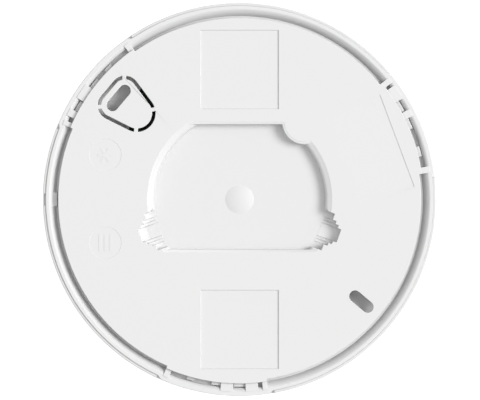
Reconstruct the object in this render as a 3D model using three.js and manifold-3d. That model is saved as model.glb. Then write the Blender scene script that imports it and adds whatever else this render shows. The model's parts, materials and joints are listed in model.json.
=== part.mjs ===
// A round ceiling smoke detector with its bayonet mounting bracket, lying face down: the front face is
// the plane z = 0, the back of the bracket is the plane z = HEIGHT, and the axis of the body is Z.
// Millimetres and degrees. Azimuths are counter-clockwise from +X, seen from the bracket side.
import * as THREE from "three";
import { mergeVertices } from "three/addons/utils/BufferGeometryUtils.js";
import Module from "manifold-3d";

const wasm = await Module();
wasm.setup();

// ---- Driving dimensions ----
const GAP = 0.3; // air between pieces that bear on each other
const OUTER_R = 66; // front cover
const HEIGHT = 31; // front face to the back of the bracket
const ROUND = 60; // segments of a large turned shape
const SMALL_ROUND = 16; // segments of a small turned shape
const MID_ROUND = 36; // segments of a middling one
const FINE_ROUND = 12; // segments of a screw

// Mounting bracket
const PLATE_R = 61;
const PLATE_T = 1.8;
const LIP_T = 0.7; // thickness of the plate's thin edge
const LIP_IN_R = 59.8;
const STATION_PLATE_R = 61.65; // the plate reaches a little further out beside the bayonet hooks
const PAN_DEPTH = 3.6; // central recess
const PAN_FLOOR_T = 1.6;
const PAN_WALL_T = 1.5;
const PAN_ARC_R = 31.1;
const PAN_TOP_Y = 26.1;
const PAN_BOTTOM_Y = -17.9;
const PAN_NOTCH = { x: 21.7, y: 26, r: 6.5 };
const PAN_BAND = { side: 2.55, top: 1.1, bottom: 1.35, notch: 1.05, depth: 0.45 }; // shallow band round it
const PAN_STEP_DEG = -20.2; // direction of the stepped corner, mirrored on the other side
const PAN_STEPS = [[35.4, 2.3], [34.15, 3.35], [32.95, 4.4], [31.6, 6.5]]; // tip radius, half width
const BOSS_R = 4.9; // round boss in the middle of the recess
const BOSS_HEIGHT = 0.65;
const PAD = { halfX: 13.15, nearY: 30.3, farY: 56.8, depth: 0.4 };
const LABEL = { deg: 20.5, farX: 56.4, nearX: 34, halfWidth: 16.4, depth: 0.2 }; // its floor slopes outwards
const SLOT_WIDTH = 3.9;
const SLOT_A = { deg: 140, r: 52.9, length: 10.3 }; // lies across its radius
const SLOT_B = { deg: 320, r: 53.2, length: 9.35 }; // lies along its radius
const TAB = { outerCircleR: 4.4, innerCircleR: 5.7, innerR: 45, slit: 1.15, bridge: 1.3 };
const TAB_OUTER_BRIDGE_DEG = 47;
const TAB_INNER_BRIDGE_DEG = 52.5;
const HOOK = { stemInR: 59, stemOutR: 60.1, footOutR: 62.8, z0: 27.8, z1: 29 };

// Bayonet stations: azimuths of the end ribs, the fixed teeth, the ledges and the bracket's hook
const STATIONS = [
  {
    ribs: [[8, 10], [37.5, 39.3]],
    teeth: [[13.4, 16.6], [28.2, 31.8]],
    ledges: [[25.8, 28.1], [31.8, 36.5]],
    hook: [22.4, 27.9],
  },
  {
    ribs: [[125.2, 127], [155.5, 157]],
    teeth: [[133.5, 136.4], [148.2, 151.7]],
    ledges: [[143.1, 148], [151.7, 154]],
    hook: [139.7, 146],
  },
  {
    ribs: [[246.5, 248.3], [277, 278.5]],
    teeth: [[253.5, 256], [268.1, 271.8]],
    ledges: [[264.2, 268], [271.8, 275.7]],
    hook: [261.3, 267.2],
  },
];

// Rear case
const RIM_TOP = 29.8;
const RIM_OUT_R = 65;
const GROOVE = { topR: 63.95, footR: 61.6, inR: 60.2, floor: 28 }; // groove round the bracket
const STATION_GROOVE = { topR: 64.5, footR: 63.15, footZ: 28.6, floor: 27.5 }; // and inside the stations
const BULGE_R = 65.85;
const BULGE_Z = 28.7;
const FLOOR_TOP = 25.2;
const FLOOR_BOTTOM = 23.2;
const LEDGE_TOP = 30;
const LEDGE_BOTTOM = 29.3;
const LEDGE_IN_R = 60.9;
const TOOTH_R = [61.2, 62.8];
const INDEX_BLOCK = { degs: [177.8, 182.1], rs: [61.2, 62.7], top: 28.8 };
const WELL = [[-38.7, 18.6], [-24.4, 18.6], [-24.4, 43], [-31.7, 43]]; // opening over the tamper switch

// Front cover, front cap and smoke inlet
const DECK_BOTTOM = 7;
const DECK_TOP = 8.2;
const DECK_HOLE_R = 26;
const COVER_WALL = 1.7;
const COVER_TOP = 29.35;
const COVER_STATION_TOP = 28.3; // the cover's lip drops under the rim's bulges
const COVER_STATION_MARGIN_DEG = 2.5;
const SHOULDER_TOP = 14; // where the cover's rounded shoulder meets its wall
const SOUNDER_SLOTS = { count: 5, pitch: 4, halfLength: 8, halfWidth: 0.9 };
const INDEX_NOTCH_HALF_DEG = 1.7;
const CAP_R = 57.6;
const CAP_FACE_R = 52;
const CAP_T = 1.8;
const CAP_RIM_TOP = 3.6;
const CAP_LEG_DEGS = [18, 140, 262];
const CAP_LEG_R = 44;
const VANES = 36;
const GRILLE = { inR: 49.5, outR: 56.6, z0: 3.9, z1: 6.7, washerT: 0.6, vaneT: 1.2 };

// Test button
const BUTTON_R = 10;
const BUTTON_FACE = 0.4; // the face stands back from the resting plane
const LIGHT_RING = { inR: 10.4, outR: 12, flangeR: 13.5 };
const BUTTON_BOARD = { r: 16, z0: 5.9, z1: 6.8 };
const BUTTON_SPRING = { inR: 5, outR: 5.8, z0: 2.1, z1: 5.6 };

// Inside
const PCB = { r: 57.4, z0: 17.5, z1: 19.1 };
const UNDER_PCB = PCB.z0 - GAP;
const OVER_PCB = PCB.z1 + GAP;
const CHAMBER = { r: 23.5, z0: 7.1, z1: UNDER_PCB, coverT: 1.2, baseT: 1.3 };
const OPTIC_DEGS = { ir_emitter: 60, photodiode: 190 };
const OPTIC_Z = 12;
const CELL = { r: 7.25, length: 50.5, chordR: 38, z: 15.75, degs: [205, 335] };
const SOUNDER = { x: 30.4, y: 30.4, r: 14.5, z0: 8.5, wall: 1 };
const CASE_SCREW = { degs: [15, 90, 160, 270], r: 55, bossR: 3.1, shankR: 1.2, headR: 2.6 };
const PCB_SCREW = { degs: [75, 150, 270], r: 30.5, postR: 2.6, shankR: 0.9, headR: 2 };
const TAMPER = { deg: 138.5, r: 42.2, rodR: 1.5, top: 28.9, flangeR: 2.5 };

// ---- Materials ----
function finish(color, roughness, metalness = 0) {
  return new THREE.MeshStandardMaterial({ color, roughness, metalness });
}
const WHITE_PLASTIC = finish(0xeeeeec, 0.5);
const SATIN_WHITE = finish(0xf2f2f0, 0.38);
const BLACK_PLASTIC = finish(0x161618, 0.6);
const SCREEN_STEEL = finish(0x9a9c9e, 0.4, 1);
const CIRCUIT_BOARD = finish(0x123c26, 0.45);
const CHIP_BLACK = finish(0x1b1b1d, 0.45);
const TINNED_STEEL = finish(0xb9bbbd, 0.3, 1);
const SPRING_STEEL = finish(0xa4a6a8, 0.28, 1);
const BRASS = finish(0xc9a65a, 0.3, 1);
const CELL_SLEEVE = finish(0x2f5d8c, 0.4);
const CLEAR_PLASTIC = finish(0xdfe6ea, 0.15);
const DARK_LENS = finish(0x24242c, 0.15);
const FOAM = finish(0x2a2a2a, 0.95);
const FLEX_AMBER = finish(0xb8792b, 0.4);

// ---- Solids ----
const rad = THREE.MathUtils.degToRad;

function solid(geometry) {
  const bare = geometry.clone();
  bare.deleteAttribute("normal");
  bare.deleteAttribute("uv");
  const merged = mergeVertices(bare, 1e-4);
  return new wasm.Manifold(
    new wasm.Mesh({
      numProp: 3,
      vertProperties: merged.attributes.position.array,
      triVerts: new Uint32Array(merged.index.array),
    }),
  );
}

function geometryOf(manifold) {
  const mesh = manifold.getMesh();
  const geometry = new THREE.BufferGeometry();
  geometry.setAttribute("position", new THREE.BufferAttribute(mesh.vertProperties, 3));
  geometry.setIndex(new THREE.BufferAttribute(mesh.triVerts, 1));
  geometry.computeVertexNormals();
  return geometry;
}

function union(solids) {
  return solids.reduce((whole, next) => whole.add(next));
}

function cut(body, tools) {
  return tools.reduce((left, tool) => left.subtract(tool), body);
}

// A turned solid about Z. The profile is [r, z] pairs, outside wall upwards.
function turned(profile, segments = ROUND) {
  const points = profile.map(([r, z]) => new THREE.Vector2(r, z));
  return solid(new THREE.LatheGeometry(points, segments).rotateX(Math.PI / 2));
}

function ring(inR, outR, z0, z1, segments = ROUND) {
  return turned([[inR, z0], [outR, z0], [outR, z1], [inR, z1], [inR, z0]], segments);
}

function disc(r, z0, z1, segments = ROUND) {
  return turned([[0, z0], [r, z0], [r, z1], [0, z1]], segments);
}

// A flat shape between two heights.
function prism(shape, z0, z1, curveSegments = 12) {
  const depth = z1 - z0;
  return solid(
    new THREE.ExtrudeGeometry(shape, { depth, curveSegments, bevelEnabled: false }).translate(0, 0, z0),
  );
}

function polygon(points) {
  return new THREE.Shape(points.map(([x, y]) => new THREE.Vector2(x, y)));
}

function sector(inR, outR, degs, z0, z1) {
  const [from, to] = degs.map(rad);
  const shape = new THREE.Shape();
  shape.absarc(0, 0, outR, from, to, false);
  shape.absarc(0, 0, inR, to, from, true);
  const steps = Math.max(2, Math.ceil((to - from) / rad(5)));
  return prism(shape, z0, z1, steps);
}

function block(x0, x1, y0, y1, z0, z1) {
  const box = new THREE.BoxGeometry(x1 - x0, y1 - y0, z1 - z0);
  return solid(box.translate((x0 + x1) / 2, (y0 + y1) / 2, (z0 + z1) / 2));
}

// A block whose length runs along the radius at an azimuth.
function radialBlock(deg, inR, outR, halfWidth, z0, z1) {
  return block(inR, outR, -halfWidth, halfWidth, z0, z1).rotate([0, 0, deg]);
}

function at(deg, r) {
  return [r * Math.cos(rad(deg)), r * Math.sin(rad(deg))];
}

// A post, hole or disc that stands on a point.
function post([x, y], r, z0, z1, segments = SMALL_ROUND) {
  return disc(r, z0, z1, segments).translate([x, y, 0]);
}

function tube([x, y], inR, outR, z0, z1, segments = SMALL_ROUND) {
  return ring(inR, outR, z0, z1, segments).translate([x, y, 0]);
}

function convexHull(points) {
  const sorted = [...points].sort((a, b) => a[0] - b[0] || a[1] - b[1]);
  const turn = (o, a, b) => (a[0] - o[0]) * (b[1] - o[1]) - (a[1] - o[1]) * (b[0] - o[0]);
  const half = (list) => {
    const chain = [];
    for (const p of list) {
      while (chain.length > 1 && turn(chain.at(-2), chain.at(-1), p) <= 1e-9) {
        chain.pop();
      }
      chain.push(p);
    }
    return chain.slice(0, -1);
  };
  return [...half(sorted), ...half(sorted.reverse())];
}

// The outline that wraps tightly round some circles, each [x, y, r].
function wrapped(circles, grow = 0, steps = 20) {
  const points = circles.flatMap(([x, y, r]) =>
    Array.from({ length: steps }, (_, i) => {
      const a = (2 * Math.PI * i) / steps;
      return [x + (r + grow) * Math.cos(a), y + (r + grow) * Math.sin(a)];
    }),
  );
  return polygon(convexHull(points));
}

// ---- Mounting bracket ----
const PLATE_UNDER = HEIGHT - PLATE_T;
const PAN_FLOOR = HEIGHT - PAN_DEPTH;

function bracketHook({ hook }) {
  const stem = sector(HOOK.stemInR, HOOK.stemOutR, hook, HOOK.z0, PLATE_UNDER + GAP);
  const foot = sector(HOOK.stemInR, HOOK.footOutR, hook, HOOK.z0, HOOK.z1);
  return stem.add(foot);
}

function stationEdge({ ribs }) {
  return sector(PLATE_R - 2, STATION_PLATE_R, [ribs[0][0], ribs[1][1]], HEIGHT - LIP_T, HEIGHT);
}

// The D of the recess, drawn in by so much at its sides, top, bottom and notch.
function panOutlineSolid(inset, z0, z1) {
  const r = PAN_ARC_R - inset.side;
  const band = block(-r - 1, r + 1, PAN_BOTTOM_Y + inset.bottom, PAN_TOP_Y - inset.top, z0, z1);
  const notch = post([PAN_NOTCH.x, PAN_NOTCH.y], PAN_NOTCH.r + inset.notch, z0 - 1, z1 + 1);
  return disc(r, z0, z1).intersect(band).subtract(notch);
}

function panCutters() {
  const top = HEIGHT + 1;
  const noInset = { side: 0, top: 0, bottom: 0, notch: 0 };
  const limit = block(-HEIGHT * 2, HEIGHT * 2, PAN_BOTTOM_Y, PAN_TOP_Y, PAN_FLOOR, top);
  const corners = [PAN_STEP_DEG, 180 - PAN_STEP_DEG].flatMap((deg) =>
    PAN_STEPS.map(([tipR, halfWidth]) =>
      radialBlock(deg, PAN_ARC_R / 2, tipR, halfWidth, PAN_FLOOR, top).intersect(limit),
    ),
  );
  return [
    panOutlineSolid(noInset, HEIGHT - PAN_BAND.depth, top),
    panOutlineSolid(PAN_BAND, PAN_FLOOR, top),
    ...corners,
  ];
}

function panShell() {
  const z0 = PAN_FLOOR - PAN_FLOOR_T;
  const reach = PAN_STEPS[0][0] + PAN_WALL_T;
  const y0 = PAN_BOTTOM_Y - PAN_WALL_T;
  const band = block(-reach, reach, y0, PAN_TOP_Y + PAN_WALL_T, z0, PLATE_UNDER + GAP);
  return disc(reach, z0, PLATE_UNDER + GAP).intersect(band);
}

function panBoss() {
  const ballR = (BOSS_R ** 2 + BOSS_HEIGHT ** 2) / (2 * BOSS_HEIGHT);
  const ballZ = PAN_FLOOR + BOSS_HEIGHT - ballR;
  const edge = Math.asin(BOSS_R / ballR);
  const steps = 6;
  const dome = Array.from({ length: steps + 1 }, (_, i) => {
    const a = edge * (1 - i / steps);
    return [ballR * Math.sin(a), ballZ + ballR * Math.cos(a)];
  });
  dome[steps][0] = 0;
  return turned([[0, PAN_FLOOR - 1], [BOSS_R, PAN_FLOOR - 1], ...dome], SMALL_ROUND);
}

function screwSlot({ deg, r, length }, across) {
  const half = (length - SLOT_WIDTH) / 2;
  const [x, y] = at(deg, r);
  const [dx, dy] = at(across ? deg + 90 : deg, half);
  const ends = [[x + dx, y + dy, SLOT_WIDTH / 2], [x - dx, y - dy, SLOT_WIDTH / 2]];
  return prism(wrapped(ends), PLATE_UNDER - 1, HEIGHT + 1);
}

// The perforated tear-off tab round slot A: a slit broken by four thin bridges.
function tabSlit() {
  const [x, y] = at(SLOT_A.deg, SLOT_A.r);
  const capOffset = (SLOT_A.length - SLOT_WIDTH) / 2;
  const [dx, dy] = at(SLOT_A.deg + 90, capOffset);
  const [ix, iy] = at(SLOT_A.deg, TAB.innerR);
  const circles = [
    [x + dx, y + dy, TAB.outerCircleR],
    [x - dx, y - dy, TAB.outerCircleR],
    [ix, iy, TAB.innerCircleR],
  ];
  const z0 = PLATE_UNDER - 1;
  const z1 = HEIGHT + 1;
  const outside = prism(wrapped(circles, TAB.slit / 2), z0, z1);
  const inside = prism(wrapped(circles, -TAB.slit / 2), z0 - 1, z1 + 1);
  const bridgeAt = ([cx, cy], deg) => {
    const bar = block(0, 2 * TAB.innerCircleR, -TAB.bridge / 2, TAB.bridge / 2, z0 - 1, z1 + 1);
    return bar.rotate([0, 0, deg]).translate([cx, cy, 0]);
  };
  const bridges = [
    bridgeAt([x + dx, y + dy], SLOT_A.deg + TAB_OUTER_BRIDGE_DEG),
    bridgeAt([x - dx, y - dy], SLOT_A.deg - TAB_OUTER_BRIDGE_DEG),
    bridgeAt([ix, iy], SLOT_A.deg + 180 + TAB_INNER_BRIDGE_DEG),
    bridgeAt([ix, iy], SLOT_A.deg + 180 - TAB_INNER_BRIDGE_DEG),
  ];
  return cut(outside, [inside, ...bridges]);
}

function padRecess(side) {
  const ys = [side * PAD.nearY, side * PAD.farY].sort((a, b) => a - b);
  return block(-PAD.halfX, PAD.halfX, ys[0], ys[1], HEIGHT - PAD.depth, HEIGHT + 1);
}

function labelRecess() {
  const { deg, farX, nearX, halfWidth, depth } = LABEL;
  const side = polygon([[nearX, HEIGHT], [farX, HEIGHT - depth], [farX, HEIGHT + 1], [nearX, HEIGHT + 1]]);
  return prism(side, -halfWidth, halfWidth).rotate([90, 0, 0]).rotate([0, 0, deg]);
}

function mountingBracket() {
  const plate = turned([
    [0, PLATE_UNDER],
    [LIP_IN_R, PLATE_UNDER],
    [LIP_IN_R + PLATE_T - LIP_T, HEIGHT - LIP_T],
    [PLATE_R, HEIGHT - LIP_T],
    [PLATE_R, HEIGHT],
    [0, HEIGHT],
  ]);
  const body = union([plate, panShell(), ...STATIONS.map(stationEdge), ...STATIONS.map(bracketHook)]);
  const open = cut(body, [
    ...panCutters(),
    padRecess(1),
    padRecess(-1),
    labelRecess(),
    screwSlot(SLOT_A, true),
    screwSlot(SLOT_B, false),
    tabSlit(),
  ]);
  return open.add(panBoss());
}

// ---- Rear case ----
function stationSpan({ ribs }) {
  return ribs.map(([from, to]) => (from + to) / 2);
}

function stationFeatures({ ribs, teeth, ledges }) {
  const embedR = STATION_GROOVE.topR + 0.2;
  const root = STATION_GROOVE.floor - 0.5;
  const ribSolids = ribs.map((degs) => sector(LEDGE_IN_R, embedR, degs, root, LEDGE_TOP));
  const toothSolids = teeth.map((degs) => sector(...TOOTH_R, degs, root, HOOK.z1));
  const ledgeSolids = ledges.map((degs) => sector(LEDGE_IN_R, embedR, degs, LEDGE_BOTTOM, LEDGE_TOP));
  const bulge = sector(RIM_OUT_R - 0.4, BULGE_R, [ribs[0][0], ribs[1][1]], BULGE_Z, RIM_TOP);
  return union([...ribSolids, ...toothSolids, ...ledgeSolids, bulge]);
}

function stationRelief(station) {
  const { topR, footR, footZ, floor } = STATION_GROOVE;
  const inR = GROOVE.inR - 1;
  const high = RIM_TOP + 1;
  const whole = turned([[inR, floor], [footR, floor], [footR, footZ], [topR, RIM_TOP], [topR, high], [inR, high], [inR, floor]]);
  return whole.intersect(sector(inR - 5, OUTER_R, stationSpan(station), floor - 1, high + 1));
}

function countersunkHole(deg) {
  const profile = [
    [0, FLOOR_BOTTOM - 1],
    [CASE_SCREW.shankR + GAP, FLOOR_BOTTOM - 1],
    [CASE_SCREW.shankR + GAP, FLOOR_TOP - 1.4],
    [CASE_SCREW.headR + GAP, FLOOR_TOP - 0.2],
    [CASE_SCREW.headR + GAP, FLOOR_TOP + 1],
    [0, FLOOR_TOP + 1],
  ];
  return turned(profile, SMALL_ROUND).translate([...at(deg, CASE_SCREW.r), 0]);
}

function rearCase() {
  const tray = turned([
    [0, FLOOR_BOTTOM],
    [RIM_OUT_R, FLOOR_BOTTOM],
    [RIM_OUT_R, RIM_TOP],
    [GROOVE.topR, RIM_TOP],
    [GROOVE.footR, GROOVE.floor],
    [GROOVE.inR, GROOVE.floor],
    [GROOVE.inR, FLOOR_TOP],
    [0, FLOOR_TOP],
  ]);
  const relieved = cut(tray, STATIONS.map(stationRelief));
  const indexBlock = sector(...INDEX_BLOCK.rs, INDEX_BLOCK.degs, GROOVE.floor - 0.5, INDEX_BLOCK.top);
  const well = prism(polygon(WELL), FLOOR_BOTTOM - 1, FLOOR_TOP + 1);
  const body = union([relieved, indexBlock, ...STATIONS.map(stationFeatures)]);
  return cut(body, [well, ...CASE_SCREW.degs.map(countersunkHole)]);
}

// ---- Front cover ----
function shoulder(outR, innerR, z0, z1, steps) {
  return Array.from({ length: steps + 1 }, (_, i) => {
    const a = (Math.PI / 2) * (i / steps);
    return [innerR + (outR - innerR) * Math.sin(a), z1 - (z1 - z0) * Math.cos(a)];
  });
}

function coverShell() {
  const outside = shoulder(OUTER_R, CAP_R + 1, DECK_BOTTOM, SHOULDER_TOP, 4);
  const inside = shoulder(OUTER_R - COVER_WALL, CAP_R + 1, DECK_TOP, SHOULDER_TOP, 2).reverse();
  const lipR = RIM_OUT_R + GAP;
  return turned([
    [DECK_HOLE_R, DECK_BOTTOM],
    ...outside,
    [OUTER_R, COVER_TOP - 0.3],
    [OUTER_R - 0.2, COVER_TOP],
    [lipR, COVER_TOP],
    [lipR, FLOOR_BOTTOM - GAP],
    [OUTER_R - COVER_WALL, FLOOR_BOTTOM - GAP],
    ...inside,
    [DECK_HOLE_R, DECK_TOP],
    [DECK_HOLE_R, DECK_BOTTOM],
  ]);
}

function sounderSlots() {
  const { count, pitch, halfLength, halfWidth } = SOUNDER_SLOTS;
  return Array.from({ length: count }, (_, i) => {
    const y = (i - (count - 1) / 2) * pitch;
    return block(-halfLength, halfLength, y - halfWidth, y + halfWidth, DECK_BOTTOM - 1, DECK_TOP + 1)
      .rotate([0, 0, -45])
      .translate([SOUNDER.x, SOUNDER.y, 0]);
  });
}

function stationGap(station) {
  const [from, to] = stationSpan(station);
  const degs = [from - COVER_STATION_MARGIN_DEG, to + COVER_STATION_MARGIN_DEG];
  return sector(RIM_OUT_R, OUTER_R + 1, degs, COVER_STATION_TOP, COVER_TOP + 1);
}

function frontCover() {
  const bossTop = FLOOR_BOTTOM - GAP;
  const caseBosses = CASE_SCREW.degs.map((deg) =>
    post(at(deg, CASE_SCREW.r), CASE_SCREW.bossR, DECK_TOP - 0.5, bossTop),
  );
  const boardPosts = PCB_SCREW.degs.map((deg) =>
    post(at(deg, PCB_SCREW.r), PCB_SCREW.postR, DECK_TOP - 0.5, UNDER_PCB),
  );
  const caseHoles = CASE_SCREW.degs.map((deg) =>
    post(at(deg, CASE_SCREW.r), CASE_SCREW.shankR + GAP, bossTop - 8, bossTop + 1),
  );
  const boardHoles = PCB_SCREW.degs.map((deg) =>
    post(at(deg, PCB_SCREW.r), PCB_SCREW.shankR + GAP, UNDER_PCB - 6, UNDER_PCB + 1),
  );
  const legSlots = CAP_LEG_DEGS.map((deg) =>
    radialBlock(deg, CAP_LEG_R - 1.8, CAP_LEG_R + 1.4, 3.6, DECK_BOTTOM - 1, DECK_TOP + 1),
  );
  const notchDegs = [180 - INDEX_NOTCH_HALF_DEG, 180 + INDEX_NOTCH_HALF_DEG];
  const indexNotch = sector(RIM_OUT_R + 0.1, OUTER_R + 1, notchDegs, COVER_TOP - 3, COVER_TOP + 1);
  const body = union([coverShell(), ...caseBosses, ...boardPosts]);
  return cut(body, [...caseHoles, ...boardHoles, ...legSlots, ...sounderSlots(), ...STATIONS.map(stationGap), indexNotch]);
}

// ---- Front cap, inlet grille, button and light ring ----
function frontCap() {
  const edge = shoulder(CAP_R, CAP_FACE_R, 0, CAP_RIM_TOP - 0.6, 3);
  const shell = turned([
    [LIGHT_RING.outR + GAP, 0],
    ...edge,
    [CAP_R, CAP_RIM_TOP],
    [CAP_R - 1.6, CAP_RIM_TOP],
    [CAP_FACE_R, CAP_T],
    [LIGHT_RING.outR + GAP, CAP_T],
    [LIGHT_RING.outR + GAP, 0],
  ]);
  const legs = CAP_LEG_DEGS.flatMap((deg) => [
    radialBlock(deg, CAP_LEG_R - 0.8, CAP_LEG_R + 0.8, 3, CAP_T - 0.5, DECK_TOP + 1.5),
    radialBlock(deg, CAP_LEG_R, CAP_LEG_R + 1.3, 3, CAP_T - 0.5, DECK_BOTTOM - GAP),
  ]);
  const boardPosts = [30, 150, 270].map((deg) =>
    post(at(deg, BUTTON_BOARD.r - 1.4), 0.9, CAP_T - 0.5, BUTTON_BOARD.z0 - GAP, 12),
  );
  return union([shell, ...legs, ...boardPosts]);
}

function inletGrille() {
  const washerZ = GRILLE.z1 - GRILLE.washerT;
  const washer = ring(GRILLE.inR, GRILLE.outR, washerZ, GRILLE.z1);
  const vanes = Array.from({ length: VANES }, (_, i) =>
    radialBlock(
      (360 * (i + 0.5)) / VANES,
      GRILLE.inR + 1,
      GRILLE.outR - 0.2,
      GRILLE.vaneT / 2,
      GRILLE.z0,
      washerZ + 0.2,
    ),
  );
  return union([washer, ...vanes]);
}

function testButton() {
  const wallR = 8.6;
  const shell = turned(
    [
      [0, BUTTON_FACE],
      [BUTTON_R - 0.4, BUTTON_FACE],
      [BUTTON_R, BUTTON_FACE + 0.4],
      [BUTTON_R, 3.3],
      [BUTTON_R + 1, 3.3],
      [BUTTON_R + 1, 3.9],
      [wallR, 3.9],
      [wallR, 1.8],
      [0, 1.8],
    ],
    MID_ROUND,
  );
  return shell.add(post([0, 0], 1.4, 1.5, 3.5));
}

function lightRing() {
  const { inR, outR, flangeR } = LIGHT_RING;
  return turned(
    [
      [inR, 0.3],
      [outR, 0.3],
      [outR, CAP_T + GAP],
      [flangeR, CAP_T + GAP],
      [flangeR, 3],
      [inR, 3],
      [inR, 0.3],
    ],
    MID_ROUND,
  );
}

function testSwitch() {
  const body = block(-3, 3, -3, 3, 4.6, BUTTON_BOARD.z0 - GAP);
  return body.add(post([0, 0], 1.5, 4.3, 4.8));
}

function statusLed(deg) {
  return radialBlock(deg, 11.6, 13.2, 0.8, 4.8, BUTTON_BOARD.z0 - GAP);
}

function buttonRibbon() {
  const outR = 25.3;
  const t = 0.3;
  const halfWidth = 4;
  const z0 = BUTTON_BOARD.z0 + 0.1;
  const run = radialBlock(180, BUTTON_BOARD.r + GAP, outR, halfWidth, z0, z0 + t);
  const rise = radialBlock(180, outR - t, outR, halfWidth, z0, UNDER_PCB);
  return run.add(rise);
}

// ---- Smoke chamber ----
function chamberCover() {
  const plate = disc(CHAMBER.r, CHAMBER.z0, CHAMBER.z0 + CHAMBER.coverT, MID_ROUND);
  const top = CHAMBER.z1 - CHAMBER.baseT - GAP;
  const count = 16;
  const clearOfOptics = (deg) =>
    Object.values(OPTIC_DEGS).every((o) => Math.abs(((deg - o + 540) % 360) - 180) > 15);
  const degs = Array.from({ length: count }, (_, i) => (360 * i) / count).filter(clearOfOptics);
  const vanes = degs.flatMap((deg) => {
    const [x, y] = at(deg, 20.6);
    const z0 = CHAMBER.z0 + CHAMBER.coverT - 0.5;
    const outer = block(-2, 2, -0.4, 0.4, z0, top).rotate([0, 0, deg + 55]).translate([x, y, 0]);
    const inner = block(0, 3.4, -0.4, 0.4, z0, top)
      .rotate([0, 0, deg + 150])
      .translate([x - 1.1 * Math.cos(rad(deg + 55)), y - 1.1 * Math.sin(rad(deg + 55)), 0]);
    return [outer, inner];
  });
  return union([plate, ...vanes]);
}

function opticBarrel(deg, r, inR, outR) {
  return disc(r, inR, outR, 16).rotate([0, 90, 0]).translate([0, 0, OPTIC_Z]).rotate([0, 0, deg]);
}

function chamberBase() {
  const plate = disc(CHAMBER.r, CHAMBER.z1 - CHAMBER.baseT, CHAMBER.z1, MID_ROUND);
  const degs = Object.values(OPTIC_DEGS);
  const holders = degs.map((deg) => radialBlock(deg, 13.5, 21, 3.2, 9.2, CHAMBER.z1 - 0.5));
  const bores = degs.map((deg) => opticBarrel(deg, 1.8, 12, 22.5));
  return cut(union([plate, ...holders]), bores);
}

function optic(deg) {
  return opticBarrel(deg, 1.5, 14.6, 20);
}

function insectScreen() {
  const z0 = CHAMBER.z0 + 0.2;
  const z1 = CHAMBER.z1 - CHAMBER.baseT - GAP;
  const windows = 12;
  const body = ring(CHAMBER.r + 0.5, CHAMBER.r + 0.9, z0, z1, MID_ROUND);
  const cuts = Array.from({ length: windows }, (_, i) =>
    radialBlock((360 * (i + 0.5)) / windows, CHAMBER.r - 1, CHAMBER.r + 2, 5.2, z0 + 0.8, z1 - 0.8),
  );
  return cut(body, cuts);
}

// ---- Electronics and power ----
function cellAt(deg, r, length, inset) {
  const [x, y] = at(deg, CELL.chordR);
  return disc(r, -length / 2 + inset, length / 2 - inset, SMALL_ROUND)
    .rotate([90, 0, 0])
    .rotate([0, 0, deg])
    .translate([x, y, CELL.z]);
}

function batteryCell(deg) {
  return union([cellAt(deg, CELL.r, CELL.length, 0.8), cellAt(deg, 2.8, CELL.length, 0)]);
}

function batteryTab(deg, side) {
  const y = side * (CELL.length / 2 + GAP);
  const ys = [y, y + side * 0.4].sort((a, b) => a - b);
  return block(CELL.chordR - 3, CELL.chordR + 3, ys[0], ys[1], CELL.z - 3, UNDER_PCB).rotate([0, 0, deg]);
}

function mainPcb() {
  const z0 = PCB.z0 - 1;
  const z1 = PCB.z1 + 1;
  const halfLength = CELL.length / 2 + 1.2;
  const cellCuts = CELL.degs.map((deg) =>
    block(CELL.chordR - 8, CELL.chordR + 8, -halfLength, halfLength, z0, z1).rotate([0, 0, deg]),
  );
  const bossCuts = CASE_SCREW.degs.map((deg) =>
    radialBlock(deg, CASE_SCREW.r - 3.7, PCB.r + 2, 3.7, z0, z1),
  );
  const screwHoles = PCB_SCREW.degs.map((deg) =>
    post(at(deg, PCB_SCREW.r), PCB_SCREW.shankR + GAP, z0, z1, 16),
  );
  return cut(disc(PCB.r, PCB.z0, PCB.z1), [...cellCuts, ...bossCuts, ...screwHoles]);
}

function roundPart([x, y], r, z0, z1) {
  return post([x, y], r, z0, z1);
}

function chip(x, y, halfX, halfY, height) {
  return block(x - halfX, x + halfX, y - halfY, y + halfY, OVER_PCB, OVER_PCB + height);
}

function antenna(degs) {
  const strip = sector(54, 54.5, degs, OVER_PCB, OVER_PCB + 3.2);
  const foot = sector(52.4, 54.5, degs, OVER_PCB, OVER_PCB + 0.4);
  return strip.add(foot);
}

function sounderHousing() {
  const { x, y, r, z0, wall } = SOUNDER;
  const cup = turned(
    [
      [r - wall, z0],
      [r, z0],
      [r, UNDER_PCB],
      [0, UNDER_PCB],
      [0, UNDER_PCB - wall],
      [r - wall, UNDER_PCB - wall],
      [r - wall, z0],
    ],
    MID_ROUND,
  );
  const contactHoles = [-5, 5].map((dx) => post([dx, 0], 1.1, UNDER_PCB - 3, UNDER_PCB + 1, 12));
  return cut(cup, contactHoles).translate([x, y, 0]);
}

function caseScrew(deg) {
  const head = FLOOR_TOP - 0.2;
  const profile = [
    [0, FLOOR_BOTTOM - 7],
    [CASE_SCREW.shankR, FLOOR_BOTTOM - 7],
    [CASE_SCREW.shankR, head - 1.2],
    [CASE_SCREW.headR, head - 0.2],
    [CASE_SCREW.headR, head],
    [0, head],
  ];
  return turned(profile, FINE_ROUND).translate([...at(deg, CASE_SCREW.r), 0]);
}

function pcbScrew(deg) {
  const profile = [
    [0, PCB.z0 - 5],
    [PCB_SCREW.shankR, PCB.z0 - 5],
    [PCB_SCREW.shankR, OVER_PCB],
    [PCB_SCREW.headR, OVER_PCB],
    [PCB_SCREW.headR, OVER_PCB + 1.3],
    [0, OVER_PCB + 1.3],
  ];
  return turned(profile, FINE_ROUND).translate([...at(deg, PCB_SCREW.r), 0]);
}

// ---- Tamper switch ----
const TAMPER_XY = at(TAMPER.deg, TAMPER.r);

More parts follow.
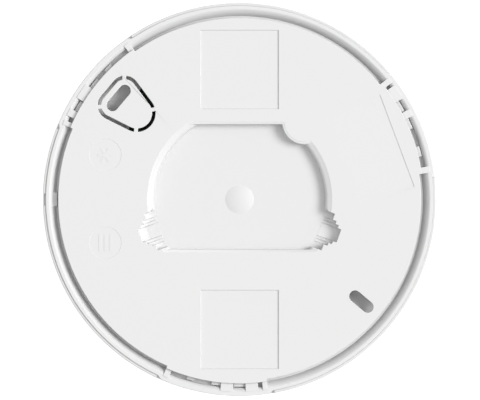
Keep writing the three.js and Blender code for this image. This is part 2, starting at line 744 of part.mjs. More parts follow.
function tamperSwitch() {
  const [x, y] = TAMPER_XY;
  const base = block(x - 4, x + 4, y - 4, y + 4, OVER_PCB, 20.6);
  const sleeve = turned(
    [[2.8, 20.4], [3.6, 20.4], [3.6, 25], [1.8, 25], [1.8, 24.4], [2.8, 24.4], [2.8, 20.4]],
    SMALL_ROUND,
  );
  return base.add(sleeve.translate([x, y, 0]));
}

function tamperPlunger() {
  const { rodR, flangeR, top } = TAMPER;
  const profile = [
    [0, 23.3],
    [flangeR, 23.3],
    [flangeR, 24.1],
    [rodR, 24.1],
    [rodR, top - 0.5],
    [rodR - 0.5, top],
    [0, top],
  ];
  return turned(profile, SMALL_ROUND).translate([...TAMPER_XY, 0]);
}

// ---- Assembly ----
const detector = new THREE.Group();
detector.name = "smoke_detector";

function addTo(group, name, material, manifold) {
  const mesh = new THREE.Mesh(geometryOf(manifold), material);
  mesh.name = name;
  group.add(mesh);
}

function subassembly() {
  const group = new THREE.Group();
  detector.add(group);
  return (name, material, manifold) => addTo(group, name, material, manifold);
}

const mounting = subassembly();
mounting("mounting_bracket", WHITE_PLASTIC, mountingBracket());

const casing = subassembly();
casing("rear_case", WHITE_PLASTIC, rearCase());
casing("front_cover", SATIN_WHITE, frontCover());
casing("front_cap", SATIN_WHITE, frontCap());
casing("inlet_grille", WHITE_PLASTIC, inletGrille());
CASE_SCREW.degs.forEach((deg, i) => {
  casing(`case_screw_${i + 1}`, TINNED_STEEL, caseScrew(deg));
});

const control = subassembly();
control("test_button", SATIN_WHITE, testButton());
control("light_ring", CLEAR_PLASTIC, lightRing());
control("button_board", CIRCUIT_BOARD, disc(BUTTON_BOARD.r, BUTTON_BOARD.z0, BUTTON_BOARD.z1, MID_ROUND));
control("button_ribbon", FLEX_AMBER, buttonRibbon());
control("test_switch", CHIP_BLACK, testSwitch());
[90, 210, 330].forEach((deg, i) => {
  control(`status_led_${i + 1}`, CLEAR_PLASTIC, statusLed(deg));
});
control(
  "button_spring",
  SPRING_STEEL,
  ring(BUTTON_SPRING.inR, BUTTON_SPRING.outR, BUTTON_SPRING.z0, BUTTON_SPRING.z1, SMALL_ROUND),
);

const sensing = subassembly();
sensing("chamber_cover", BLACK_PLASTIC, chamberCover());
sensing("chamber_base", BLACK_PLASTIC, chamberBase());
sensing("insect_screen", SCREEN_STEEL, insectScreen());
sensing("ir_emitter", CLEAR_PLASTIC, optic(OPTIC_DEGS.ir_emitter));
sensing("photodiode", DARK_LENS, optic(OPTIC_DEGS.photodiode));

const electronics = subassembly();
electronics("main_board", CIRCUIT_BOARD, mainPcb());
electronics("microcontroller", CHIP_BLACK, chip(2, 14, 3.5, 3.5, 1));
electronics("radio_module", CIRCUIT_BOARD, chip(0, -43, 9, 6, 0.8));
electronics("radio_shield", TINNED_STEEL, block(-6, 6, -47.5, -38.5, OVER_PCB + 1.1, OVER_PCB + 3));
electronics("antenna_1", BRASS, antenna([96, 114]));
electronics("antenna_2", BRASS, antenna([278, 296]));
electronics("capacitor_1", CHIP_BLACK, roundPart([4, -43], 4, 9.4, UNDER_PCB));
electronics("capacitor_2", CHIP_BLACK, roundPart([13, -41], 4, 9.4, UNDER_PCB));
electronics("inductor", CHIP_BLACK, roundPart([-4, 43], 5, 10.6, UNDER_PCB));
PCB_SCREW.degs.forEach((deg, i) => {
  electronics(`board_screw_${i + 1}`, TINNED_STEEL, pcbScrew(deg));
});

const power = subassembly();
CELL.degs.forEach((deg, i) => {
  power(`battery_cell_${i + 1}`, CELL_SLEEVE, batteryCell(deg));
  power(`battery_tab_${2 * i + 1}`, TINNED_STEEL, batteryTab(deg, 1));
  power(`battery_tab_${2 * i + 2}`, TINNED_STEEL, batteryTab(deg, -1));
});

const sounder = subassembly();
const sounderXY = [SOUNDER.x, SOUNDER.y];
sounder("sounder_housing", BLACK_PLASTIC, sounderHousing());
sounder("piezo_disc", BRASS, post(sounderXY, 13, 12, 12.4, MID_ROUND));
sounder("sounder_gasket", FOAM, tube(sounderXY, 11.6, 13.2, 8.9, 11.7, MID_ROUND));
[-5, 5].forEach((dx, i) => {
  const place = [SOUNDER.x + dx, SOUNDER.y];
  sounder(`sounder_contact_${i + 1}`, SPRING_STEEL, post(place, 0.8, 12.7, UNDER_PCB, 12));
});

const tamper = subassembly();
tamper("tamper_switch", BLACK_PLASTIC, tamperSwitch());
tamper("tamper_plunger", BLACK_PLASTIC, tamperPlunger());
tamper("tamper_spring", SPRING_STEEL, tube(TAMPER_XY, 1.6, 2.4, 20.9, 23));

export default detector;
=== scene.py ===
"""A round white smoke detector lying face down, seen from the side of its mounting bracket."""

import json
import math

import bmesh
import bpy
from mathutils import Matrix, Vector


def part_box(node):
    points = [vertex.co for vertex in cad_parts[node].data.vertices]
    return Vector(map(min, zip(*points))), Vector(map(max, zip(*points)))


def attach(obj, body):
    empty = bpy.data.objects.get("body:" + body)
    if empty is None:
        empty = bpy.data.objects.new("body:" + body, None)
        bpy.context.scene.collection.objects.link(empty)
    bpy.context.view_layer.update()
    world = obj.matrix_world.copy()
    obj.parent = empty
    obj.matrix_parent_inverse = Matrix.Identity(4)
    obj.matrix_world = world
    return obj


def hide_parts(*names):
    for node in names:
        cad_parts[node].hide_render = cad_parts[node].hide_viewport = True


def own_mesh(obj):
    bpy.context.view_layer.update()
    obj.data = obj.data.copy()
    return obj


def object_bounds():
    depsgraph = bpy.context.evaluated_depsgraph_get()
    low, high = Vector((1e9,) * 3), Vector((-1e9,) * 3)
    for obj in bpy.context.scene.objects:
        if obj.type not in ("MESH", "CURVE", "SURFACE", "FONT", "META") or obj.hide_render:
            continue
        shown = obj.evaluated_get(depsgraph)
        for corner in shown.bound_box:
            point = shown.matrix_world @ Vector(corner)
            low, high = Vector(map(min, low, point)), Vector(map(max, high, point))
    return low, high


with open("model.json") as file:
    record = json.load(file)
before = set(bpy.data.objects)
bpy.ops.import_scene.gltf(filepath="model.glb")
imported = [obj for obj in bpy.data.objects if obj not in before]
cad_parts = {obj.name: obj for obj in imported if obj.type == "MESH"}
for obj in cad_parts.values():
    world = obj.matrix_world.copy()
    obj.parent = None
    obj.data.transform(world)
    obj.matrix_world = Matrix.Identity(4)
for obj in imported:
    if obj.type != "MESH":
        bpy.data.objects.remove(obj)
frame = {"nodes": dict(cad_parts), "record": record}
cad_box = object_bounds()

# Lengths in this script are millimetres until a piece is finished.
MM = 0.001
FINE = 240  # segments of a large turned shape
MEDIUM = 96
SMALL = 40

BRACKET_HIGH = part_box("mounting_bracket")[1] / MM
CASE_LOW, CASE_HIGH = (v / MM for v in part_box("rear_case"))
COVER_LOW, COVER_HIGH = (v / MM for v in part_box("front_cover"))
CAP_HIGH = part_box("front_cap")[1] / MM
GRILLE_LOW, GRILLE_HIGH = (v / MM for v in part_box("inlet_grille"))
BUTTON_LOW, BUTTON_HIGH = (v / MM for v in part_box("test_button"))
RING_LOW, RING_HIGH = (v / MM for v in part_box("light_ring"))
SCREEN_LOW, SCREEN_HIGH = (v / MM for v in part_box("insect_screen"))

PLATE_TOP = BRACKET_HIGH.z
PLATE_UNDER = PLATE_TOP - 1.8
PLATE_R = 60.8
LIP_UNDER = PLATE_TOP - 0.7
STATION_PLATE_R = 61.65
RIM_TOP = 29.8
RIM_OUT_R = 65
# The slope from the rim's top down into the groove, and the steeper one inside the stations
GROOVE_SLOPE = [(63.95, 29.8), (63.75, 29.75), (63.5, 29.62), (63, 29.26), (62.5, 28.8), (62, 28.2),
                (61.6, 27.6)]
STATION_SLOPE = [(64.5, 29.8), (64.2, 29.72), (63.9, 29.55), (63.6, 29.3), (63.35, 29.04), (63.2, 28.8),
                 (63.15, 28.6)]
STATION_FLOOR = 27.55
SHELF_TOP = 27.6
SHELF_IN_R = 60.2
LIP_TOP = COVER_HIGH.z
BULGE_R = 65.85
BULGE_Z = 28.7
BULGE_TAPER_DEG = 1.4
FLOOR_TOP = 25.2
FLOOR_UNDER = CASE_LOW.z
LEDGE_IN_R = 60.9
LEDGE_TOP = CASE_HIGH.z
LEDGE_UNDER = 29.3
TOOTH_IN_R = 61.2
TOOTH_OUT_R = 62.8
TOOTH_TOP = 29
HOOK_UNDER = 27.8
OUTER_R = COVER_HIGH.x
STATION_COVER_TOP = 28.3
DECK_UNDER = COVER_LOW.z
DECK_TOP = DECK_UNDER + 1.2
CAP_R = CAP_HIGH.x
CASE_SCREW_DEGS = (15, 90, 160, 270)
CASE_SCREW_R = 55
BOARD_SCREW_DEGS = (75, 150, 270)
BOARD_SCREW_R = 30.5
SNAP_DEGS = (18, 140, 262)
WAIST_Z = 14  # where the cover's shoulder meets its upright wall

# Bayonet stations, in degrees counter-clockwise from +X: end ribs, fixed teeth, ledges, the bracket's hook
STATIONS = [
    {"ribs": [(8, 10), (37.5, 39.3)], "teeth": [(13.4, 16.6), (28.2, 31.8)],
     "ledges": [(25.8, 28.1), (31.8, 36.5)], "hook": (22.4, 27.9)},
    {"ribs": [(125.2, 127), (155.5, 157)], "teeth": [(133.5, 136.4), (148.2, 151.7)],
     "ledges": [(143.1, 148), (151.7, 154)], "hook": (139.7, 146)},
    {"ribs": [(246.5, 248.3), (277, 278.5)], "teeth": [(253.5, 256), (268.1, 271.8)],
     "ledges": [(264.2, 268), (271.8, 275.7)], "hook": (261.3, 267.2)},
]


# ---- Shapes ----
def polar(deg, r):
    return Vector((r * math.cos(math.radians(deg)), r * math.sin(math.radians(deg))))


def arc(centre, r, start, end, steps):
    """Points on an arc between two azimuths in degrees, both ends included."""
    return [Vector(centre) + polar(start + (end - start) * i / steps, r) for i in range(steps + 1)]


def circle(centre, r, steps=SMALL):
    return arc(centre, r, 0, 360, steps)[:-1]


def new_object(name, mesh):
    piece = bpy.data.objects.new(name, mesh)
    bpy.context.scene.collection.objects.link(piece)
    return piece


def object_from(name, bm):
    bmesh.ops.recalc_face_normals(bm, faces=bm.faces)
    mesh = bpy.data.meshes.new(name)
    bm.to_mesh(mesh)
    bm.free()
    return new_object(name, mesh)


def lofted(levels, name="loft"):
    """A closed solid through outlines of equally many points, each level (points, z)."""
    bm = bmesh.new()
    rings = [[bm.verts.new((p[0], p[1], z)) for p in points] for points, z in levels]
    for lower, upper in zip(rings, rings[1:]):
        for i in range(len(lower)):
            j = (i + 1) % len(lower)
            bm.faces.new((lower[i], lower[j], upper[j], upper[i]))
    bm.faces.new(rings[0])
    bm.faces.new(rings[-1])
    return object_from(name, bm)


def prism(points, z0, z1, name="prism"):
    return lofted([(points, z0), (points, z1)], name)


def sector(in_r, out_r, degs, z0, z1):
    steps = max(2, math.ceil((degs[1] - degs[0]) / 1.5))
    outline = arc((0, 0), out_r, *degs, steps) + arc((0, 0), in_r, *reversed(degs), steps)
    return prism(outline, z0, z1, "sector")


def bar(deg, in_r, out_r, half_width, z0, z1, centre=(0, 0)):
    """A block whose length runs along an azimuth from a centre."""
    along, across = polar(deg, 1), polar(deg + 90, half_width)
    near, far = Vector(centre) + along * in_r, Vector(centre) + along * out_r
    return prism([near - across, far - across, far + across, near + across], z0, z1, "bar")


def rounded(corners, steps=6):
    """The points of a profile whose corners (r, z, fillet radius) are turned into arcs."""
    points = []
    for i, (r, z, radius) in enumerate(corners):
        here = Vector((r, z))
        if not radius:
            points.append(here)
            continue
        before = (Vector(corners[i - 1][:2]) - here).normalized()
        after = (Vector(corners[(i + 1) % len(corners)][:2]) - here).normalized()
        half = before.angle(after) / 2
        reach = radius / math.tan(half)
        centre = here + (before + after).normalized() * (radius / math.sin(half))
        start = here + before * reach - centre
        end = here + after * reach - centre
        sweep = start.angle_signed(end)
        for k in range(steps + 1):
            points.append(centre + Matrix.Rotation(-sweep * k / steps, 2) @ start)
    return points


def turned(corners, segments=FINE, name="turned", extra=()):
    """A solid turned about Z from a profile of (r, z) or (r, z, fillet radius) corners.

    The corners can be a function of the azimuth, with extra azimuths where they change.
    """
    profile_at = corners if callable(corners) else (lambda deg: corners)
    degs = sorted([360 * i / segments for i in range(segments)] + list(extra))
    bm = bmesh.new()
    columns = []
    for deg in degs:
        points = rounded([(*c, 0)[:3] for c in profile_at(deg)])
        places = [(*polar(deg, r), z) for r, z in points]
        if columns:
            shared = columns[0]
            columns.append([shared[k] if r < 1e-6 else bm.verts.new(places[k])
                            for k, (r, z) in enumerate(points)])
        else:
            columns.append([bm.verts.new(place) for place in places])
    closed = points[0][0] > 1e-6
    count = len(columns[0])
    for i, column in enumerate(columns):
        after = columns[(i + 1) % len(columns)]
        for k in range(count if closed else count - 1):
            m = (k + 1) % count
            face = list(dict.fromkeys((column[k], after[k], after[m], column[m])))
            if len(face) > 2:
                bm.faces.new(face)
    return object_from(name, bm)


def moved(piece, x=0, y=0, z=0):
    piece.data.transform(Matrix.Translation((x, y, z)))
    return piece


def convex_hull(points):
    ordered = sorted((p[0], p[1]) for p in points)

    def chain(run):
        kept = []
        for p in run:
            while len(kept) > 1 and (
                (kept[-1][0] - kept[-2][0]) * (p[1] - kept[-2][1])
                - (kept[-1][1] - kept[-2][1]) * (p[0] - kept[-2][0]) <= 1e-9
            ):
                kept.pop()
            kept.append(p)
        return kept[:-1]

    return chain(ordered) + chain(reversed(ordered))


def wrapped(circles, grow=0.0):
    """The outline that wraps tightly round circles (centre, radius)."""
    return convex_hull([p for centre, r in circles for p in circle(centre, r + grow, 64)])


# ---- Joins, cuts and edges ----
def baked(piece):
    """Applies a piece's modifiers to its mesh."""
    depsgraph = bpy.context.evaluated_depsgraph_get()
    mesh = bpy.data.meshes.new_from_object(piece.evaluated_get(depsgraph))
    piece.modifiers.clear()
    old, piece.data = piece.data, mesh
    bpy.data.meshes.remove(old)
    return piece


def combine(piece, tools, operation):
    for tool in tools:
        modifier = piece.modifiers.new(operation.lower(), "BOOLEAN")
        modifier.operation = operation
        modifier.solver = "EXACT"
        modifier.object = tool
    baked(piece)
    for tool in tools:
        bpy.data.objects.remove(tool)
    return piece


def join(piece, tools):
    return combine(piece, tools, "UNION")


def cut(piece, tools):
    return combine(piece, tools, "DIFFERENCE")


def soften(piece, width=0.15, segments=2, sharper_than=60):
    """Rounds the edges that turn by more than an angle."""
    clean(piece)
    modifier = piece.modifiers.new("edges", "BEVEL")
    modifier.width = width
    modifier.segments = segments
    modifier.limit_method = "ANGLE"
    modifier.angle_limit = math.radians(sharper_than)
    modifier.use_clamp_overlap = False
    modifier.miter_outer = "MITER_ARC"
    return baked(piece)


def clean(piece, distance=0.004):
    bm = bmesh.new()
    bm.from_mesh(piece.data)
    bmesh.ops.remove_doubles(bm, verts=bm.verts, dist=distance)
    bmesh.ops.dissolve_degenerate(bm, edges=bm.edges, dist=distance)
    bm.to_mesh(piece.data)
    bm.free()
    return piece


def smooth(piece, angle=32):
    """Shades a piece smooth, with its level faces kept flat."""
    bm = bmesh.new()
    bm.from_mesh(piece.data)
    for face in bm.faces:
        face.smooth = True
    for edge in bm.edges:
        level = [abs(face.normal.z) > 0.99999 for face in edge.link_faces]
        bend = edge.calc_face_angle(math.pi)
        edge.smooth = bend < math.radians(angle) and not (any(level) and not all(level))
    bm.to_mesh(piece.data)
    bm.free()
    return piece


# ---- Materials ----
class Value:
    """A number socket, so that sums on it are written as expressions."""

    def __init__(self, shader, socket):
        self.shader = shader
        self.socket = socket

    def _sum(self, operation, first, second):
        node = self.shader.node("ShaderNodeMath", {"operation": operation}, {0: first, 1: second})
        return Value(self.shader, node.outputs[0])

    def __add__(self, other):
        return self._sum("ADD", self, other)

    __radd__ = __add__

    def __sub__(self, other):
        return self._sum("SUBTRACT", self, other)

    def __rsub__(self, other):
        return self._sum("SUBTRACT", other, self)

    def __mul__(self, other):
        return self._sum("MULTIPLY", self, other)

    __rmul__ = __mul__

    def __gt__(self, other):
        return self._sum("GREATER_THAN", self, other)


class Shader:
    """One material: its nodes, its surface shader and its object coordinates."""

    def __init__(self, name):
        self.material = bpy.data.materials.new(name)
        self.material.use_nodes = True
        self.tree = self.material.node_tree
        self.surface = self.tree.nodes["Principled BSDF"]
        self.place = self.node("ShaderNodeTexCoord").outputs["Object"]

    def node(self, kind, settings=None, inputs=None):
        node = self.tree.nodes.new(kind)
        for key, value in (settings or {}).items():
            if key == "stops":
                for i, (position, colour) in enumerate(value):
                    stop = node.color_ramp.elements[i] if i < 2 else node.color_ramp.elements.new(position)
                    stop.position = position
                    stop.color = colour
            else:
                setattr(node, key, value)
        for key, value in (inputs or {}).items():
            self.set(node.inputs[key], value)
        return node

    def set(self, socket, value):
        if isinstance(value, Value):
            value = value.socket
        if isinstance(value, bpy.types.NodeSocket):
            self.tree.links.new(value, socket)
        else:
            socket.default_value = value

    def finish(self, **inputs):
        for key, value in inputs.items():
            self.set(self.surface.inputs[key.replace("_", " ")], value)
        return self.material

    def noise(self, size, detail=2.0, roughness=0.5):
        """Noise from 0 to 1 whose blotches are about size metres across."""
        inputs = {"Vector": self.place, "Scale": 1 / size, "Detail": detail, "Roughness": roughness}
        return Value(self, self.node("ShaderNodeTexNoise", None, inputs).outputs["Fac"])

    def wave(self, axis, pitch):
        inputs = {"Vector": self.place, "Scale": 1 / pitch}
        node = self.node("ShaderNodeTexWave", {"wave_type": "BANDS", "bands_direction": axis}, inputs)
        return Value(self, node.outputs["Fac"])

    def cells(self, size):
        node = self.node("ShaderNodeTexVoronoi", {"feature": "F1"}, {"Vector": self.place, "Scale": 1 / size})
        return Value(self, node.outputs["Distance"])

    def blend(self, factor, first, second):
        node = self.node("ShaderNodeMix", {"data_type": "RGBA"})
        self.set(node.inputs["Factor"], factor)
        self.set(node.inputs[6], (*first, 1) if isinstance(first, tuple) else first)
        self.set(node.inputs[7], (*second, 1) if isinstance(second, tuple) else second)
        return node.outputs[2]

    def bump(self, height, depth, strength=1.0):
        """A bump whose full height is depth metres."""
        inputs = {"Height": height, "Distance": depth, "Strength": strength}
        return self.node("ShaderNodeBump", None, inputs).outputs["Normal"]


def moulded_plastic(name, colour, shade, roughness, grain_depth, grain=0.0003, flow=0.03, specular=0.4):
    """Moulded plastic: a spark-eroded grain, faint flow marks and uneven gloss."""
    shader = Shader(name)
    flow_marks = shader.noise(flow, 3)
    grains = shader.noise(grain, 3, 0.6)
    specks = shader.noise(grain * 5, 2)
    colour_mix = shader.blend(flow_marks * 0.7 + specks * 0.3, colour, shade)
    gloss = roughness - 0.04 + flow_marks * 0.05 + grains * 0.05
    normal = shader.bump(grains * 0.7 + specks * 0.3, grain_depth)
    shader.set(shader.surface.inputs["Specular IOR Level"], specular)
    return shader.finish(Base_Color=colour_mix, Roughness=gloss, Normal=normal)


def clear_plastic(name, colour, roughness):
    """Milky light-guide plastic with a faint haze."""
    shader = Shader(name)
    haze = shader.noise(0.002, 3)
    edge = tuple(c * 0.9 for c in colour)
    shader.surface.inputs["Transmission Weight"].default_value = 0.35
    shader.surface.inputs["IOR"].default_value = 1.49
    return shader.finish(Base_Color=shader.blend(haze, colour, edge), Roughness=roughness + haze * 0.08)


def plated_metal(name, colour, shade, roughness, brushed=0.0006):
    """Plated or drawn metal with fine drawing lines and small tarnish spots."""
    shader = Shader(name)
    tarnish = shader.noise(0.0015, 4, 0.65)
    lines = shader.noise(brushed / 4, 2)
    normal = shader.bump(lines, 0.000012)
    mixed = shader.blend(tarnish, colour, shade)
    return shader.finish(Base_Color=mixed, Metallic=1.0, Roughness=roughness + tarnish * 0.12, Normal=normal)


def circuit_board(name):
    """Green solder mask over copper tracks, with tinned pads."""
    shader = Shader(name)
    mottled = shader.noise(0.0012, 1)
    tracks = (shader.noise(0.004, 0) * 9 + mottled * 0.4)
    ping_pong = shader.node("ShaderNodeMath", {"operation": "PINGPONG"}, {0: tracks, 1: 0.5})
    track_mask = Value(shader, ping_pong.outputs[0])
    copper = track_mask > 0.36
    pads = 1 - (shader.cells(0.0026) > 0.13)
    green = shader.blend(copper, (0.006, 0.075, 0.034), (0.016, 0.15, 0.06))
    colour = shader.blend(pads, green, (0.62, 0.62, 0.6))
    return shader.finish(Base_Color=colour, Metallic=pads * 0.9, Roughness=0.35 + mottled * 0.1,
                         Normal=shader.bump(copper * 0.6 + pads * 0.4, 0.00004))


def flex_film(name):
    """Amber film over copper strips."""
    shader = Shader(name)
    strips = shader.wave("Y", 0.0008)
    colour = shader.blend(strips, (0.5, 0.22, 0.04), (0.72, 0.38, 0.12))
    return shader.finish(Base_Color=colour, Roughness=0.3 + strips * 0.1, Normal=shader.bump(strips, 0.00003))


def foam(name):
    shader = Shader(name)
    pores = shader.cells(0.0004)
    return shader.finish(Base_Color=shader.blend(pores, (0.012, 0.012, 0.012), (0.045, 0.045, 0.045)),
                         Roughness=0.95, Normal=shader.bump(pores, 0.0001))


WHITE = moulded_plastic("bracket_and_case_white", (0.618, 0.619, 0.617), (0.608, 0.609, 0.608), 0.5, 0.000012)
SATIN = moulded_plastic("front_satin_white", (0.59, 0.59, 0.588), (0.58, 0.58, 0.578), 0.4, 0.000006)
FINISHES = {
    "white_plastic": WHITE,
    "satin_white": SATIN,
    "black_plastic": moulded_plastic("chamber_black", (0.016, 0.016, 0.017), (0.022, 0.022, 0.024), 0.6,
                                     0.00002),
    "black_component": moulded_plastic("component_black", (0.02, 0.02, 0.021), (0.03, 0.03, 0.032), 0.4,
                                       0.00001),
    "clear_plastic": clear_plastic("light_guide", (0.86, 0.88, 0.89), 0.22),
    "dark_lens": moulded_plastic("dark_lens", (0.012, 0.01, 0.02), (0.02, 0.016, 0.03), 0.12, 0.000002),
    "screen_steel": plated_metal("screen_wire", (0.56, 0.57, 0.58), (0.42, 0.43, 0.44), 0.3),
    "tinned_steel": plated_metal("zinc_plate", (0.68, 0.69, 0.7), (0.55, 0.56, 0.57), 0.28),
    "spring_steel": plated_metal("spring_wire", (0.52, 0.53, 0.54), (0.38, 0.39, 0.4), 0.25),
    "brass": plated_metal("sheet_brass", (0.78, 0.6, 0.3), (0.62, 0.45, 0.2), 0.28),
    "circuit_board": circuit_board("solder_mask_green"),
    "flex_film": flex_film("ribbon_film"),
    "cell_sleeve": moulded_plastic("cell_sleeve_blue", (0.05, 0.14, 0.36), (0.06, 0.17, 0.42), 0.3, 0.000008),
    "foam": foam("gasket_foam"),
}


def finished(piece, name, body, slot, *nodes):
    """Brings a piece to metres, gives it its finish, and puts it in place of its CAD nodes."""
    piece.name = name
    piece.data.name = name
    piece.data.transform(Matrix.Scale(MM, 4))
    piece.data.materials.clear()
    piece.data.materials.append(FINISHES[slot])
    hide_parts(*nodes)
    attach(piece, body)
    return piece


# ---- Mounting bracket ----
PAN_DEPTH = 3.6
PAN_FLOOR = PLATE_TOP - PAN_DEPTH
PAN_R = 31.1
PAN_SKIN = 1.5
PAN_TOP_Y = 26.1
PAN_BOTTOM_Y = -17.9
# How far each wall of the recess has come in at each depth: it rolls over gently, then drops
SIDE_WALL = [(0, 0), (0.15, 0.03), (0.6, 0.22), (1.1, 0.35), (1.6, 0.55), (2, 0.83), (2.25, 1.2), (2.35, 2.2),
             (2.4, 3.5), (2.5, PAN_DEPTH)]
TOP_WALL = [(0, 0), (0.1, 0.03), (0.35, 0.13), (0.8, 0.15), (0.84, 0.22), (0.86, 3.5), (0.87, PAN_DEPTH)]
BOTTOM_WALL = [(0, 0), (0.3, 0.03), (0.6, 0.14), (0.8, 0.22), (1, 0.35), (1.1, 0.5), (1.13, 1.2),
               (1.14, 3.5), (1.15, PAN_DEPTH)]
NOTCH_WALL = [(0, 0), (0.12, 0.03), (0.35, 0.12), (0.8, 0.18), (1, 0.35), (1.05, 0.83), (1.1, 3.5),
              (1.2, PAN_DEPTH)]
NOTCH_CENTRE = (21.7, 26)
NOTCH_R = 6.5
STEP_DEG = -20.2
# The stepped corner's blocks (tip radius, half width), and how far each one's tip and sides come in at
# each depth, down to a floor that slopes on towards the middle
STEPS = [(35.4, 2.3), (34.15, 3.35), (32.95, 4.4), (31.6, 6.5)]
STEP_WALL = [(0.04, 0.04, 3.0), (2.6, 0.08, PAN_DEPTH - 0.05)]
ABOVE = PLATE_TOP + 1
CLEAR = 0.012  # how far a cutting tool's own edges stay off the plate's face


def inset_at(wall, depth):
    """How far a wall has come in at a depth."""
    for (near, above), (far, below) in zip(wall, wall[1:]):
        if depth <= below:
            return near + (far - near) * (depth - above) / (below - above)
    return wall[-1][0]


def recess_outline(side, top, bottom, steps=48):
    """The D of the recess, drawn in by so much at its round sides, its top and its bottom."""
    r = PAN_R - side
    high = math.degrees(math.asin((PAN_TOP_Y - top) / r))
    low = math.degrees(math.asin((PAN_BOTTOM_Y + bottom) / r))
    return arc((0, 0), r, low, high, steps) + arc((0, 0), r, 180 - high, 180 - low, steps)


def step_cutter(deg, far_r, half, rise):
    """One block of the stepped corner, its floor a hair above the recess's so that no two coincide."""

    def outline(tip_inset, side_inset):
        along, across = polar(deg, 1), polar(deg + 90, half - side_inset)
        near, far = along * 12, along * (far_r - tip_inset)
        return [near - across, far - across, far + across, near + across]

    walls = [(outline(tip, side), PLATE_TOP + CLEAR - depth + rise)
             for tip, side, depth in reversed(STEP_WALL)]
    return lofted([*walls, (outline(0, 0), ABOVE)])


def recess_cutters():
    walls = (SIDE_WALL, TOP_WALL, BOTTOM_WALL, NOTCH_WALL)
    depths = sorted({depth for wall in walls for inset, depth in wall}, reverse=True)
    insets = [[inset_at(wall, depth) for wall in walls] for depth in depths]
    well = lofted([*((recess_outline(*inset[:3]), PLATE_TOP + CLEAR - depth)
                     for inset, depth in zip(insets, depths)),
                   (recess_outline(0, 0, 0), ABOVE)])
    post = lofted([(circle(NOTCH_CENTRE, NOTCH_R + insets[0][3], 72), PAN_FLOOR - 1),
                   *((circle(NOTCH_CENTRE, NOTCH_R + inset[3], 72), PLATE_TOP + CLEAR * 1.3 - depth)
                     for inset, depth in zip(insets, depths)),
                   (circle(NOTCH_CENTRE, NOTCH_R, 72), ABOVE + 1)])
    cut(well, [post])
    steps = [step_cutter(deg, far_r, half, 0.004 * (i + 1)) for deg in (STEP_DEG, 180 - STEP_DEG)
             for i, (far_r, half) in enumerate(STEPS)]
    edge_box = prism([(-50, PAN_BOTTOM_Y), (50, PAN_BOTTOM_Y), (50, PAN_TOP_Y), (-50, PAN_TOP_Y)],
                     PAN_FLOOR - 1, ABOVE + 2)
    steps = [combine(step, [copy_of(edge_box)], "INTERSECT") for step in steps]
    bpy.data.objects.remove(edge_box)
    return [well, *steps]


def copy_of(piece):
    return new_object(piece.name, piece.data.copy())


def slot_cutter(deg, r, length, across, width=3.9):
    reach = (length - width) / 2
    centre = polar(deg, r)
    offset = polar(deg + 90 if across else deg, reach)
    outline = wrapped([(centre + offset, width / 2), (centre - offset, width / 2)])
    return prism(outline, PLATE_UNDER - 1, ABOVE)


SLOT_A_DEG = 140
SLOT_A_R = 52.9
SLOT_A_LENGTH = 10.3
TAB_CIRCLE_R = 4.4
TAB_INNER_CIRCLE_R = 5.7
TAB_INNER_R = 45
TAB_SLIT = 1.15
TAB_BRIDGE = 1.3


def tab_slit_cutter():
    """The slit round the tear-off tab, broken by four bridges."""
    centre = polar(SLOT_A_DEG, SLOT_A_R)
    offset = polar(SLOT_A_DEG + 90, (SLOT_A_LENGTH - 3.9) / 2)
    inner = polar(SLOT_A_DEG, TAB_INNER_R)
    circles = [(centre + offset, TAB_CIRCLE_R), (centre - offset, TAB_CIRCLE_R), (inner, TAB_INNER_CIRCLE_R)]
    low, high = PLATE_UNDER - 1, ABOVE
    outside = prism(wrapped(circles, TAB_SLIT / 2), low, high)
    inside = prism(wrapped(circles, -TAB_SLIT / 2), low - 1, high + 1)
    bridges = [
        bar(deg, 0, 12, TAB_BRIDGE / 2, low - 1, high + 1, point)
        for deg, point in (
            (SLOT_A_DEG + 47, centre + offset),
            (SLOT_A_DEG - 47, centre - offset),
            (SLOT_A_DEG + 180 + 52.5, inner),
            (SLOT_A_DEG + 180 - 52.5, inner),
        )
    ]
    return cut(outside, [inside, *bridges])


def shallow(points_at, depth, slope=1.0):
    """A shallow recess with leaning walls; points_at(inset) gives its outline."""
    rim = CLEAR * slope
    return lofted([(points_at(depth * slope), PLATE_TOP - depth), (points_at(-rim), PLATE_TOP + CLEAR),
                   (points_at(-rim - 0.01), ABOVE)])


def rectangle(low, high, turn=0):
    def at(inset):
        corners = [(low[0] + inset, low[1] + inset), (high[0] - inset, low[1] + inset),
                   (high[0] - inset, high[1] - inset), (low[0] + inset, high[1] - inset)]
        rotation = Matrix.Rotation(math.radians(turn), 2)
        return [rotation @ Vector(c) for c in corners]
    return at


def label_wedge(depth=0.18, near_x=34, far_x=56.4, half=16.4, deg=20.5):
    """The label's seat, whose floor slopes from the plate's face down to its far edge."""
    turn = Matrix.Rotation(math.radians(deg), 2)
    outline = [turn @ Vector(p) for p in ((near_x, -half), (far_x, -half), (far_x, half), (near_x, half))]
    wedge = prism(outline, PLATE_TOP, ABOVE)
    for vertex in wedge.data.vertices:
        if vertex.co.z < PLATE_TOP + 0.1:
            reach = (turn.transposed() @ vertex.co.xy).x
            vertex.co.z += 0.02 - (depth + 0.02) * (reach - near_x) / (far_x - near_x)
    return wedge


def mark_cutter(centre, bars):
    """A round mould insert: a shallow disc that leaves plain raised bars standing in it."""
    disc = shallow(lambda inset: circle(centre, 5.4 - inset, 72), 0.08)
    raised = [prism([Vector(centre) + Matrix.Rotation(math.radians(turn), 2) @ Vector(p) for p in
                     ((x0, y0), (x1, y0), (x1, y1), (x0, y1))], PLATE_TOP - 1, ABOVE + 1)
              for x0, x1, y0, y1, turn in bars]
    return cut(disc, raised)


